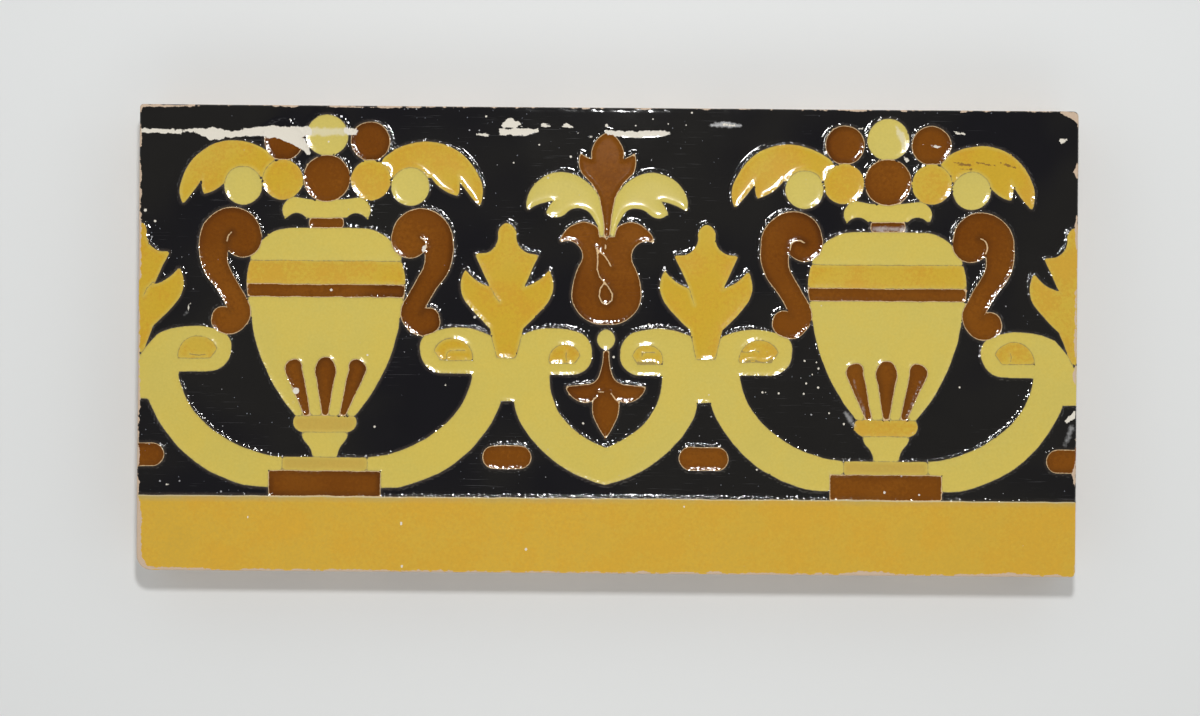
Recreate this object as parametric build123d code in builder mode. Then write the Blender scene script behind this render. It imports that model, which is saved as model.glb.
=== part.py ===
"""Wall tile with a raised-line frieze: two urns of fruit between scrolls, leaves and a palmette.

The tile lies on its back. X runs along the frieze, Y goes up the design and Z is the thickness.
Every motif is a set of shallow cells that the coloured glazes lie in, and a thin clay ridge is
left standing between neighbouring cells. The ground between the motifs is at ridge height.
Each motif is drawn once, about its own axis and upwards from the bottom edge of the tile.
"""
import os
from cmath import phase, rect

from build123d import *

# Tile
length = 280.0
width = 139.0
thickness = 18.0
front_arris = 0.5
back_arris = 1.2

# Relief
rim = 1.2
ridge = 0.9
cell_depth = 0.7

# Keying on the back
key_count = 4
key_width = 14.0
key_depth = 2.0
key_margin = 14.0
key_land = 15.5

# Face that the frieze is drawn for. On a tile of another size the drawing is stretched to fit.
drawing_length = 280.0
drawing_width = 139.0

# Axes of the motifs, from the palmette's
frieze_shift = -0.4
leaf_axis = 29.7
urn_axis = 83.6
edge_leaf_axis = 139.8

# Outlines. A step that is one point is a straight line to it, and a step that is two points is
# an arc through the first to the second. Half outlines start and end on the motif's axis.

# Leaf on its stalk
leaf = [
    (0, 104.3), ((2.3, 102.6), (2.6, 100.2)), ((3.9, 96.9), (6.2, 95.3)), (9.6, 95.0),
    (5.1, 85.3), ((9.2, 87.2), (12.4, 90.6)), ((13.8, 86.0), (12.5, 81.0)),
    ((8.9, 76.7), (4.9, 72.8)),
]
stalk = [(2.8, 64.1), (0, 64.1)]
edge_stalk = [(2.6, 66.8), (0, 61.5)]

# Urn, from the plinth upwards
plinth = [(0, 22.5), (16.7, 22.5), (16.7, 30.1), (0, 30.1)]
step = [(0, 30.1), (12.6, 30.1), (12.6, 34.1), (0, 34.1)]
foot = [(0, 34.1), (3.8, 34.1), ((4.3, 36.6), (5.6, 38.4)), ((6.6, 39.8), (6.9, 41.6)), (0, 41.6)]
collar = [(0, 41.6), (6.9, 41.6), ((9.3, 43.4), (8.8, 46.4)), (0, 46.4)]
body = [
    (0, 46.4), (8.8, 46.4), ((16.8, 58.3), (21.2, 70.2)), (23.3, 81.8), (0, 81.8),
]
lower_belt = [(0, 81.8), (23.3, 81.8), (23.6, 85.7), (0, 85.7)]
upper_belt = [(0, 85.7), (23.6, 85.7), ((23.4, 89.3), (22.6, 92.6)), (0, 92.6)]
shoulder = [(0, 92.6), (22.6, 92.6), ((21.6, 95.3), (20.0, 97.6)), ((16.0, 101.0), (11.0, 102.4)), (0, 102.4)]
neck = [(0, 102.4), (5.9, 102.4), ((5.2, 103.9), (6.0, 105.4)), (0, 105.4)]
lip = [
    (0, 105.4), (6.0, 105.4), ((8.9, 106.8), (11.2, 106.0)), (12.2, 105.2), ((13.2, 107.6), (12.0, 110.3)),
    ((10.6, 111.4), (9.0, 111.5)), ((4.6, 110.9), (0, 110.4)),
]
middle_flute = [(0, 46.4), (0.9, 46.4), (2.75, 57.5), ((3.1, 60.9), (2.0, 63.2)), ((1.1, 63.9), (0, 64.0))]
side_flute = [
    (4.2, 46.4), (6.2, 46.4), (12.0, 59.4), ((11.6, 62.2), (9.9, 63.2)), ((7.9, 63.1), (6.9, 60.6)),
    (4.2, 46.4),
]
handle = [
    (29.2, 95.6), ((29.4, 93.2), (28.3, 89.6)), (23.2, 80.6), ((22.4, 76.3), (24.0, 73.0)),
    ((27.6, 70.6), (31.6, 71.2)), ((33.9, 73.2), (34.0, 76.0)), ((32.2, 78.6), (29.2, 78.1)),
    ((31.6, 82.4), (35.0, 87.0)), ((37.5, 92.3), (37.8, 98.3)), ((34.7, 105.7), (28.4, 108.5)),
    ((22.6, 106.6), (19.6, 101.3)), ((19.9, 96.4), (24.0, 93.5)), ((27.2, 94.0), (29.2, 95.6)),
]

# Fruit and garland leaf beside the urn's axis
fruit = [(0, 117.2, 7.0), (13.1, 116.7, 6.0), (24.9, 114.9, 5.7), (12.9, 128.3, 5.9)]
top_fruit = [(0, 124.0), ((4.6, 125.7), (6.3, 130.0)), ((4.5, 134.3), (0, 136.3))]
garland = [
    (17.0, 123.6), ((22.4, 126.9), (29.0, 128.4)), ((39.6, 125.2), (45.6, 117.6)),
    ((46.6, 113.4), (45.6, 109.2)), ((42.6, 112.4), (39.5, 117.3)), ((39.7, 114.6), (39.1, 112.1)),
    ((34.6, 114.0), (31.0, 117.6)), (24.9, 114.9), (13.1, 116.7), (17.0, 123.6),
]
outer_garland_reach = 0.94

# Palmette and pendant
bud = [
    (0, 131.6), ((3.6, 128.9), (4.7, 123.7)), ((6.2, 124.2), (8.0, 125.4)), ((8.5, 122.0), (7.6, 119.2)),
    ((4.6, 116.0), (2.4, 112.0)), ((1.3, 106.2), (0.9, 100.4)), (0, 100.4),
]
petal = [
    (0.9, 100.4), ((1.3, 106.2), (2.4, 112.0)), ((7.2, 117.6), (13.7, 119.6)), ((21.0, 116.6), (24.1, 110.6)),
    (23.9, 107.9), ((20.2, 110.0), (15.9, 111.2)), ((17.4, 109.4), (18.3, 107.4)),
    ((15.5, 106.0), (12.4, 107.2)), ((8.9, 108.9), (5.6, 107.9)), ((3.4, 104.6), (2.1, 100.4)), (0.9, 100.4),
]
tulip = [
    (0, 98.4), ((2.6, 103.2), (7.0, 104.9)), ((12.0, 102.6), (14.0, 97.5)), ((11.4, 99.1), (8.8, 98.0)),
    ((7.4, 95.6), (7.7, 92.8)), ((9.8, 87.8), (10.5, 83.6)), ((8.0, 77.2), (0, 74.3)),
]
bead = [(0, 72.9), ((2.7, 69.8), (0, 66.7))]
pendant = [
    (0, 66.6), (0.95, 66.5), ((1.2, 62.2), (2.0, 59.2)), ((3.6, 57.1), (6.0, 56.4)), (12.0, 55.8),
    ((9.6, 52.2), (5.6, 51.0)), (3.9, 51.4), ((4.0, 48.6), (3.2, 45.6)), ((1.7, 42.8), (0, 40.3)),
]

# Ovals, and the plain band under the frieze
oval = [(0, 38.0), (4.0, 38.0), ((7.4, 34.5), (4.0, 31.0)), (0, 31.0)]
oval_axis = 29.3
edge_oval_axis = 138.8
base_band = [(0, 22.5), (144, 22.5), (144, -4), (0, -4)]

# Eyes of the volutes, beside the palmette's axis and beside the urn's axis
middle_eye = [(16.8, 62.6), ((13.4, 68.2), (7.8, 65.0)), (9.4, 62.6), (16.8, 62.6)]
urn_eye = [(43.9, 63.3), ((39.4, 69.8), (32.3, 66.2)), (34.3, 63.3), (43.9, 63.3)]

# Scroll bands, from the palmette's axis and from the urn's. Each runs on past the axis of the
# leaf between them, where they are one band.
middle_scroll = [
    (0, 37.6), ((7.4, 41.4), (13.1, 46.8)), ((15.9, 52.5), (16.8, 59.2)), (9.3, 59.3),
    ((5.2, 61.6), (4.2, 65.6)), ((5.6, 70.0), (9.6, 72.4)), ((14.0, 73.1), (18.5, 72.9)),
    ((22.5, 72.1), (26.4, 70.0)), (29.7, 66.0), (32.8, 66.0), (32.8, 51.2), (27.4, 51.2),
    ((26.2, 46.6), (23.9, 42.6)), ((14.4, 32.9), (0, 26.5)),
]
urn_scroll = [
    (0, 34.1), (12.6, 34.1), ((25.0, 37.2), (34.8, 43.3)), ((41.2, 51.0), (43.8, 59.3)), (34.3, 59.4),
    ((29.8, 61.7), (28.1, 66.0)), ((29.0, 70.0), (33.5, 72.2)), ((42.0, 72.9), (50.1, 70.4)),
    (54.0, 66.0), (58.0, 66.0), (58.0, 51.2), (52.6, 51.2), ((50.3, 46.0), (47.0, 41.0)),
    ((39.2, 32.9), (28.6, 27.2)), ((22.8, 25.5), (16.7, 25.1)), (0, 25.1),
]


def moved(steps, axis, side=1, reach=1):
    """The same steps drawn about another axis, turned over for side -1."""
    out = []
    for stop in steps:
        if isinstance(stop[0], tuple):
            out.append(tuple((axis + side * reach * x, y) for x, y in stop))
        else:
            out.append((axis + side * reach * stop[0], stop[1]))
    return out


def backwards(steps):
    """The same outline followed from its last point to its first."""
    ends = [stop[-1] if isinstance(stop[0], tuple) else stop for stop in steps]
    out = [ends[-1]]
    for i in range(len(steps) - 1, 0, -1):
        arc = isinstance(steps[i][0], tuple)
        out.append((steps[i][0], ends[i - 1]) if arc else ends[i - 1])
    return out


def whole(half):
    """Closed outline from the half of it on one side of its axis."""
    return half + backwards(moved(half, 0, -1))[1:]


def disc(x, y, radius):
    """Closed outline of a circle."""
    return [(x - radius, y), ((x, y + radius), (x + radius, y)), ((x, y - radius), (x - radius, y))]


def arc_centre(a, m, b):
    """Centre of the arc from a through m to b, all three as complex numbers."""
    m, b = m - a, b - a
    return a + 1j * (m * abs(b) ** 2 - b * abs(m) ** 2) / (2 * (m.conjugate() * b).imag)


def grown(steps, margin, longest_point=2.5):
    """The closed outline drawn a margin outside itself, or inside itself for a negative margin.

    Each corner moves along its bisector to where its two sides meet again, and a corner that
    would grow into a spike is held to longest_point margins. Arcs stay arcs about their centre.
    """
    runs = []
    area = 0
    here = complex(*steps[0])
    for stop in steps[1:]:
        if isinstance(stop[0], tuple):
            middle, there = complex(*stop[0]), complex(*stop[1])
            centre = arc_centre(here, middle, there)
            turn = 1 if ((middle - here).conjugate() * (there - middle)).imag > 0 else -1
            ways = [1j * turn * (p - centre) / abs(p - centre) for p in (here, middle, there)]
            runs.append((here, there, centre, middle, *ways))
            area += (here.conjugate() * middle).imag + (middle.conjugate() * there).imag
        else:
            there = complex(*stop)
            way = (there - here) / abs(there - here)
            runs.append((here, there, None, None, way, way, way))
            area += (here.conjugate() * there).imag
        here = there
    outward = -1j if area > 0 else 1j
    corners = []
    for before, after in zip([runs[-1]] + runs[:-1], runs):
        n, m = before[6] * outward, after[4] * outward
        bend = (n + m) / (1 + (n.conjugate() * m).real)
        spike = (before[6].conjugate() * after[4] * outward * 1j).imag * margin > 0
        if spike and abs(bend) > longest_point:
            bend *= longest_point / abs(bend)
        corners.append(after[0] + margin * bend)
    out = [(corners[0].real, corners[0].imag)]
    for (start, end, centre, middle, first, way, last), a, b in zip(runs, corners, corners[1:] + corners[:1]):
        if centre is None:
            out.append((b.real, b.imag))
            continue
        slip = phase((a - centre) / (start - centre)) + phase((b - centre) / (end - centre))
        ray = (middle + margin * way * outward - centre) * rect(1, slip / 2)
        crown = centre + ray
        out.append(((crown.real, crown.imag), (b.real, b.imag)))
    return out


def stretched(steps):
    """The steps of the drawing at their places on a tile of the size asked for."""
    across, up = length / drawing_length, width / drawing_width
    out = []
    for stop in steps:
        if isinstance(stop[0], tuple):
            out.append(tuple((x * across, y * up) for x, y in stop))
        else:
            out.append((stop[0] * across, stop[1] * up))
    return out


def face(steps):
    """Flat face inside a closed outline."""
    with BuildSketch() as sheet:
        with BuildLine():
            here = steps[0]
            for stop in steps[1:]:
                if isinstance(stop[0], tuple):
                    ThreePointArc(here, stop[0], stop[1])
                    here = stop[1]
                else:
                    Line(here, stop)
                    here = stop
        make_face()
    return sheet.sketch


# Cells from the front of the drawing to the back, each a list of the outlines that it is made
# of. A cell ends where one in front of it begins.
cells = []
for side in (1, -1):
    urn = side * urn_axis
    for x, y, radius in fruit:
        for hand in {x, -x}:
            cells.append([disc(urn + hand, y, radius)])
    cells.append([moved(whole(top_fruit), urn)])
    cells.append([moved(garland, urn, -side)])
    cells.append([moved(garland, urn, side, outer_garland_reach)])
    for hand in (1, -1):
        cells.append([moved(handle, urn, hand)])
        cells.append([moved(side_flute, urn, hand)])
        cells.append([moved(urn_eye, urn, hand)])
    for stage in (lip, neck, middle_flute, plinth, step, foot, collar, lower_belt, upper_belt, shoulder, body):
        cells.append([moved(whole(stage), urn)])
    cells.append([moved(whole(leaf + stalk), side * leaf_axis)])
    cells.append([moved(whole(leaf + edge_stalk), side * edge_leaf_axis)])
    cells.append([moved(middle_eye, 0, side)])
    cells.append([moved(petal, 0, side)])
    cells.append([moved(whole(oval), side * oval_axis)])
    cells.append([moved(whole(oval), side * edge_oval_axis)])
for motif in (bud, tulip, bead, pendant):
    cells.append([whole(motif)])
cells.append([whole(middle_scroll), moved(whole(urn_scroll), urn_axis), moved(whole(urn_scroll), -urn_axis)])
cells.append([whole(base_band)])


def laid(outlines, margin):
    """Faces of one cell on the tile, all its outlines drawn a margin outside themselves."""
    sheet = Sketch() + [face(grown(stretched(moved(outline, frieze_shift)), margin)) for outline in outlines]
    return Pos(0, -width / 2) * sheet


panel = Rectangle(length - 2 * rim, width - 2 * rim)

# Floors of the cells, without those that lie wholly off the tile
pockets = []
masks = []
for outlines in cells:
    pocket = laid(outlines, -ridge / 2) & panel
    size = pocket.bounding_box()
    for mask, reach in masks:
        across = size.min.X < reach.max.X and reach.min.X < size.max.X
        along = size.min.Y < reach.max.Y and reach.min.Y < size.max.Y
        if across and along:
            pocket -= mask
    if pocket.faces():
        pockets.append(pocket)
    mask = laid(outlines, ridge / 2)
    masks.append((mask, mask.bounding_box()))

with BuildPart() as tile:
    Box(length, width, thickness, align=(Align.CENTER, Align.CENTER, Align.MIN))
    chamfer(tile.edges().group_by(Axis.Z)[-1], front_arris)
    chamfer(tile.edges().group_by(Axis.Z)[0], back_arris)
    with BuildSketch(Plane.XY.offset(thickness)):
        for pocket in pockets:
            add(pocket)
    extrude(amount=-cell_depth, mode=Mode.SUBTRACT)
    with BuildSketch():
        with GridLocations(0, key_width + key_land, 1, key_count):
            SlotOverall(length - 2 * key_margin, key_width)
    extrude(amount=key_depth, mode=Mode.SUBTRACT)
tile.part.label = "tile"

os.makedirs("parts", exist_ok=True)
export_step(tile.part, "parts/tile.step")
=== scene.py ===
"""Looks of a relief wall tile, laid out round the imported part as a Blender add-on.

The tile is one closed mesh of fired clay and glaze. Everything is in metres, in the part's own
frame: X runs along the frieze, Y goes up the design and Z is the thickness. Places in the
tables below are in millimetres, with y measured from the bottom edge of the tile.
"""

import math

import bpy
import numpy as np
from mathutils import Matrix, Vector


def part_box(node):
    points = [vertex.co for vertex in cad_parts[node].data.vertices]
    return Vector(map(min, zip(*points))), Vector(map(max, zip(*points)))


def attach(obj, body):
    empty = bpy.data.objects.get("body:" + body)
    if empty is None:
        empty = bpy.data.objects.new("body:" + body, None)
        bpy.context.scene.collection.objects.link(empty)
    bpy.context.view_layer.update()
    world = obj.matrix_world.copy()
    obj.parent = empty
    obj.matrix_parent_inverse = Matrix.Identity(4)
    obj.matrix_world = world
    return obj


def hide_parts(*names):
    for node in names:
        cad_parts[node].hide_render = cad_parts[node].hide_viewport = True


bl_info = {
    "name": "Relief wall tile",
    "version": (1, 0, 0),
    "blender": (4, 5, 0),
    "location": "3D View > Sidebar > Tile",
    "description": "Glazed relief tile with urns of fruit, scrolls and a palmette",
    "category": "Object",
}

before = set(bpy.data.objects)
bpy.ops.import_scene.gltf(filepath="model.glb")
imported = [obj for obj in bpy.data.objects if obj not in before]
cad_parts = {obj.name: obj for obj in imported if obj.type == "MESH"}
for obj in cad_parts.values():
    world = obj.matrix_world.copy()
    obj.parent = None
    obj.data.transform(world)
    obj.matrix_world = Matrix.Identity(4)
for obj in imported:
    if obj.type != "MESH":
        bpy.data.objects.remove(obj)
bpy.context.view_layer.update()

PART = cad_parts["tile"].data
MM = 0.001
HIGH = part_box("tile")[1]
HALF = np.array((HIGH.x, HIGH.y))
TOP = HIGH.z

# Glaze of each cell, by the middle of its floor. x is the distance from the frieze's axis.
FRIEZE_AXIS = -0.4
CELL_GLAZES = {
    "Straw glaze": (
        (0, 49.2), (122.2, 48.2), (83.6, 69), (83.6, 97.2), (83.6, 108.4), (83.6, 38.3),
    ),
    "Pale glaze": ((12.3, 112.6), (0, 69.8), (108.5, 114.9), (58.7, 114.9), (83.6, 130)),
    "Ochre glaze": (
        (83.6, 89.1), (29.7, 83.6), (134.9, 83.9), (114.9, 121), (50.5, 121), (96.7, 116.7),
        (70.5, 116.7), (11.7, 65.4), (121.5, 66.5), (45.7, 66.5),
    ),
    "Brown glaze": (
        (83.6, 83.8), (83.6, 103.9), (83.6, 56.7), (91.8, 56.2), (75.4, 56.2), (83.6, 26.3),
        (112.6, 92), (54.6, 92), (0, 89.5), (0, 119.9), (0, 52.7), (83.6, 117.2),
        (96.5, 128.3), (70.7, 128.3), (29.3, 34.5), (135.8, 34.5),
    ),
    "Honey glaze": ((83.6, 44), (83.6, 32.1)),
    "Band glaze": ((0, 11.6),),
}
GLAZES = ("Black glaze", *CELL_GLAZES)
# Cells that differ from their mirror image: x, y and glaze
ODD_CELLS = ((83.2, 44, "Ochre glaze"),)
# How far each glaze lies below the crests, as a share of the glaze sink. The ground has its own.
FALL = {
    "Black glaze": 1, "Straw glaze": 0.66, "Pale glaze": 0.9, "Ochre glaze": 0.78,
    "Brown glaze": 0.65, "Honey glaze": 0.6, "Band glaze": 0.35,
}
# The brown glaze climbs to a crest over this share of the meniscus
BROWN_CLIMB = 0.5
MATERIALS = (*GLAZES, "Bare clay")

# Fine lines raised inside a cell: leaf veins, the curl of a handle, the seams of the tulip
VEINS = (
    ((24, 86), (24.9, 83), (25.8, 80.3)),
    ((-35, 85.1), (-33.6, 82.6), (-32.2, 80.7)),
    ((-112.3, 100.9), (-113.3, 99.8), (-113.7, 98)),
    ((-54.1, 96.7), (-54.5, 98.8), (-55.8, 99.7)),
    ((54.1, 96.7), (54.5, 98.8), (55.8, 99.7), (57.1, 99.8), (58.6, 99)),
    ((112.4, 96.2), (113, 97.6), (112.8, 99.2), (111.9, 100.4), (110.8, 100.8)),
    ((-0.9, 98.3), (-0.85, 96.7)),
    ((-3.6, 97.1), (-3.1, 94.9), (-3.2, 90.6), (-2.5, 88.4), (-1, 86.9), (0.3, 85.2), (1.4, 83.2),
     (1.2, 81.5), (-0.3, 80.2), (-1.8, 80.8), (-2.6, 82.8), (-2.3, 85), (-1, 86.9)),
    ((-3.6, 97.1), (-2.3, 95.8), (-1, 94.7), (-0.1, 93.4), (1, 91.5)),
    ((-42.4, 66.2), (-44.5, 66.3), (-47.2, 66.1), (-47.9, 65.2), (-47.9, 63.4)),
    ((-48.4, 63), (-45.5, 63.2), (-42.8, 63)),
    ((-12.2, 66.2), (-12.4, 64.6), (-12.1, 63.2)),
    ((10.3, 64.6), (10.2, 65.9), (12.2, 66.1), (14.4, 66)),
    ((8.4, 63.4), (10.4, 63.1), (12.4, 63.3), (14.2, 63.1)),
    ((40.4, 66.4), (42.2, 66.4), (43.8, 67), (45.4, 66.4)),
    ((41, 63.6), (43, 64.1), (44.5, 64), (45.8, 63.4), (47.6, 63.5), (49, 64.4)),
    ((120, 66.8), (120.4, 65.4), (120, 63.8)),
    ((-124.6, 64.6), (-122, 64.2), (-119.8, 64.4)),
    ((-138.4, 81.6), (-137.5, 83.9), (-135.2, 86.2)),
    ((-4, 52), (-2.8, 53)),
    ((3, 51.4), (1.2, 53.8)),
    ((-2.8, 54.2), (-1, 54.2)),
)
# Half width of a fine raised line, how far it is looked for, and the distance off a crest at which
# the slope beside it is taken
VEIN_WIDTH = 0.34
VEIN_FAR = 2.0
CREST_STEP = 0.26

# Marks of wear, with a few painted highlights among them. Each is a line of (x, y, half width).
LOST_GLAZE_AND_GLINTS = (
    ((-139.6, 131, 0.5), (-136, 131.1, 0.6), (-132, 131, 0.7), (-127.9, 130.9, 0.6)),
    ((-127.3, 131, 0.3), (-125.4, 131.2, 0.3)),
    ((-125, 131.2, 0.5), (-122, 131, 0.8), (-120, 130.6, 1.3), (-118.4, 130.2, 1.9),
     (-116.8, 130.1, 1.8), (-114.5, 130.1, 1.1), (-111, 130.2, 0.9), (-107.9, 130.8, 1.1),
     (-104.3, 130.9, 1.4), (-100, 130.9, 1.8), (-96, 130.7, 1.8), (-92.4, 130.9, 1.6),
     (-89.8, 131.2, 1.3)),
    ((-96.4, 129.6, 1.5), (-93.4, 128.6, 1.7), (-91.4, 127.3, 1.3), (-90.2, 125.6, 0.9),
     (-89.8, 124.6, 0.5)),
    ((-78, 131.2, 1.1), (-75.7, 131.2, 0.8)),
    ((-32.7, 132.4, 0), (-21.1, 132.6, 0), (-21, 131.5, 0), (-25.6, 130.4, 0), (-32.7, 130.5, 0),
     (-32.7, 132.4, 0)),
    ((-32.5, 132.8, 0), (-31.2, 134.7, 0), (-30.2, 135.6, 0), (-27.6, 134.8, 0),
     (-25.7, 133.2, 0), (-32.5, 132.8, 0)),
    ((-20, 133.5, 0.35), (-19, 133.6, 0.5), (-18, 133.5, 0.3)),
    ((-14.3, 133, 0), (-12.7, 134.2, 0), (-10.7, 133, 0), (-14.3, 133, 0)),
    ((-39.6, 130.4, 0.25), (-37.5, 130.6, 0.35), (-35.7, 130.4, 0.25)),
    ((-12, 131.1, 0.1), (-9.2, 131.2, 0.15)),
    ((-6, 130.5, 0.2), (-5.2, 130.2, 0.3)),
    ((-2.2, 131.6, 0), (-0.6, 132.2, 0), (5, 131.9, 0), (12, 132.1, 0), (17.7, 132.1, 0),
     (18.9, 131.5, 0), (15.5, 130.5, 0), (8, 130.1, 0), (2.5, 130.4, 0), (-0.5, 131, 0),
     (-2.2, 131.6, 0)),
    ((31.6, 133.8, 0.1), (34, 134.1, 0.35), (37.2, 133.9, 0.25)),
    ((20.5, 132, 0.15), (21.6, 132.1, 0.15)),
    # Painted highlights: the next two marks are glints of the lamp, laid as whitish lost glaze
    ((74.2, 133.3, 0.1), (78, 133.5, 0.2)),
    ((88, 124.5, 0.6), (88.8, 123.9, 0.6)),
    ((93, 128.6, 0.1), (96.2, 128.2, 0.25), (99, 127.9, 0.1)),
    ((102.8, 132.3, 0.2), (105.8, 132.1, 0.2)),
    ((136.9, 46.4, 0.4), (138.6, 47.8, 0.8), (139.8, 48.6, 0.9)),
    ((134.8, 130, 0.7), (135.8, 130.2, 0.6)),
    ((-55.2, 95.8, 0.5), (-54.6, 97, 0.4)),
    ((-48.2, 56, 0.1), (-46.5, 58.3, 0.15)),
    ((-131.6, 26.2, 0.1), (-130.9, 25.7, 0.2), (-130.2, 26, 0.1)),
    ((-125, 77.6, 0.1), (-124.6, 79.6, 0.15)),
    ((46.9, 54.7, 0.1), (48.6, 54.6, 0.1)),
)
HAZE = (
    ((85.6, 133.8, 0.5), (87, 131.5, 1), (88, 127.6, 0.8)),
    ((30, 133.7, 0.4), (33, 134, 0.9), (36, 134, 0.9), (39.2, 133.8, 0.4)),
    ((71, 48.8, 0.5), (72.6, 46.4, 0.9), (73.8, 44.6, 0.5)),
    ((-125.9, 76.4, 0.4), (-125.4, 77, 0.4)),
    ((136.6, 39.4, 0.6), (138.4, 44.5, 0.9)),
    ((-89.6, 131.1, 1.4), (-78, 131.1, 1.3)),
    ((79, 103.4, 0.8), (88.6, 103.4, 0.8)),
    ((-94.2, 57, 0.1), (-93.4, 50, 0.1)),
    ((73.4, 58.4, 0.1), (76.8, 47.6, 0.4)),
    ((93.4, 58.4, 0.1), (89.4, 47.6, 0.3)),
    ((49, 9.6, 0.1), (52.6, 8.6, 0.1)),
)
# Small round chips, and two painted highlights laid as chips: x, y and radius
CHIPS_AND_GLINTS = (
    # The spot at (-82.4, 84) is a painted highlight, a glint of the lamp laid as a chip
    (-138, 107.3, 0.5), (-135.1, 104.1, 0.4), (-82.4, 84, 0.45), (-83.6, 128.1, 0.3),
    (-92.7, 53.8, 0.95), (-112, 65.4, 0.25), (-69.2, 43.3, 0.35), (-61.1, 14.5, 0.5),
    (-60.7, 1.8, 0.4), (-106.8, 16.1, 0.3), (-71.5, 64.6, 0.3), (-23.8, 7.1, 0.45),
    (-7.1, 44.8, 0.35), (23.2, 20.2, 0.3), (44.8, 31.4, 0.3), (12.3, 74.4, 0.35),
    (1.9, 64.6, 0.4), (46.3, 54.5, 0.3), (-39.6, 76.2, 0.4), (-11.4, 124.2, 0.35),
    (-36.7, 136, 0.3), (-20.8, 127.7, 0.25), (58.8, 63.9, 0.3), (62.3, 63.5, 0.25),
    (62.9, 61.7, 0.3), (61.1, 59.9, 0.25), (59.3, 57.2, 0.3), (62.9, 56, 0.35),
    (58.6, 54.1, 0.35), (51.1, 54.2, 0.35), (66.2, 48.4, 0.3), (82.9, 24.9, 0.4),
    (93.2, 24.3, 0.3), (105, 56.4, 0.25), (-28.4, 122.3, 0.25), (80.6, 136, 0.3),
    (-95.1, 134.7, 0.25), (24.6, 137.6, 0.25), (13, 135.6, 0.25), (70.6, 45.2, 0.3),
    # The spot at (-0.8, 133.6) is a painted highlight, a glint of the lamp laid as a chip
    (-0.8, 133.6, 0.5), (17.6, 134.2, 0.2), (7.9, 133.6, 0.2), (22.9, 133.9, 0.2),
    (-47.6, 105.4, 0.25),
)
SPILLS = (
    ((-103.2, 132.2, 1.2), (-99, 133.6, 2), (-94, 133.6, 2), (-91.4, 132, 1.3)),
    ((-90.4, 134.4, 1), (-87.4, 137, 1.4)),
    ((-80.8, 137, 1.3), (-78, 134.6, 1)),
)
SCRAPES = (
    ((102.4, 123.4, 0.3), (107.8, 122.6, 0.45)),
    ((109.4, 123.5, 0.3), (115.2, 122.4, 0.4)),
    ((116.8, 123.3, 0.25), (121.2, 122, 0.3)),
    ((104.6, 121.6, 0.2), (108.2, 121.2, 0.25)),
)
BARE_CLAY = (
    ((133.4, 139, 0.2), (136, 138.6, 0.9), (138.2, 138, 1.4), (139.6, 137.2, 1.5),
     (139.9, 136, 0.5)),
    ((-140, 139, 0.9), (-128, 139, 0.8), (-122, 139, 0.5)),
    ((-84, 139, 0.5), (-66, 139, 0.7), (-56, 139, 0.5)),
    ((-139.9, 0.4, 2.2), (-139.8, 4, 1.5), (-139.9, 10, 1.4), (-139.9, 16, 1.5), (-139.9, 21, 0.8)),
    ((-138, 0, 1.2), (-130, 0, 0.9), (-118, 0, 0.7)),
    ((72, 0, 0.9), (75, 0.1, 1.2), (82, 0.1, 1.2), (85.6, 0, 0.8)),
    ((114.6, 0, 0.8), (120, 0.1, 1.2), (126.2, 0, 0.8)),
    ((30.6, 0, 0.9), (33.8, 0, 1)),
    ((140, 27, 0.6), (140, 31, 1.3), (140, 33.4, 0.7)),
    ((140, 57.6, 0.6), (140, 60, 1.4), (140, 63, 0.6)),
    ((140, 66, 0.8), (140, 85, 0.8)),
    ((140, 98, 0.5), (140, 104, 1), (140, 109, 0.5)),
    ((140, 118.6, 0.6), (140, 121, 1.5), (140, 123.4, 0.6)),
)

# Furthest that a mark is felt outside it, and the distance to a crest that stands for far away
MARK_REACH = 2.0
CREST_FAR = 3.0
MARKS = ("crest", "loss", "haze", "scrape", "spill", "chip", "bare")

# Radius that the corners are worn to, by the side of the tile they are on
CORNER_RADII = {(-1, -1): 4.5, (1, -1): 1.4, (-1, 1): 1, (1, 1): 1.6}

# Clay left bare along each edge of the face: mean width and how much it wanders
RIMS = {"left": (0.55, 0.45), "right": (0.2, 0.35), "bottom": (0.6, 0.35), "top": (0.25, 0.4)}

# Depth lost where clay is bare, where glaze is lost and along the rubbed arris, whose width follows
CLAY_DEPTH = 0.12
LOSS_DEPTH = 0.10
RUB_DEPTH = 0.022
RUB_WIDTH = 0.9

# The face's grid: columns, rows above and in the plain band, and the height where they change
COLUMNS, FINE_ROWS, BAND_ROWS = 440, 180, 12
BAND_TOP = 20.4
# Points of the face's edge to each point of the back's edge
EDGE_RATIO = 4
# Widest step between grid points in which a crest, a fine line or a hollow's rim is looked for
CREST_SPAN, VEIN_SPAN, HOLLOW_SPAN = 1.2, 0.67, 5
# Furthest that a point is moved onto a chip, how far round it a chip reaches, and the closest that
# two points of the back may come
CHIP_PULL, CHIP_WINDOW, NEAREST = 1.2, 4, 0.05

# Profile of the sides: how far in from the tile's edge, how far down from the face, and how many
# points of the face's edge go to one point of the row
ARRIS = 0.5
SIDE_PROFILE = (
    (0.14, 0.14, 1), (0.02, 0.55, 1), (0, 1.6, 2), (0.05, 5, 2), (0.1, 11, 2), (0.1, 15.4, 4),
    (0.35, 17.3, 4),
)
# How far down the sides the glaze runs, and how far the sides wave
GLAZED_SIDE = 1.0
SIDE_WAVE = 0.07

# The back: its arris, the slant of a hollow's wall, and the depth of its dents
BACK_ARRIS = 1.2
HOLLOW_WALL = 0.8
DENT_DEPTH = 0.1

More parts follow.
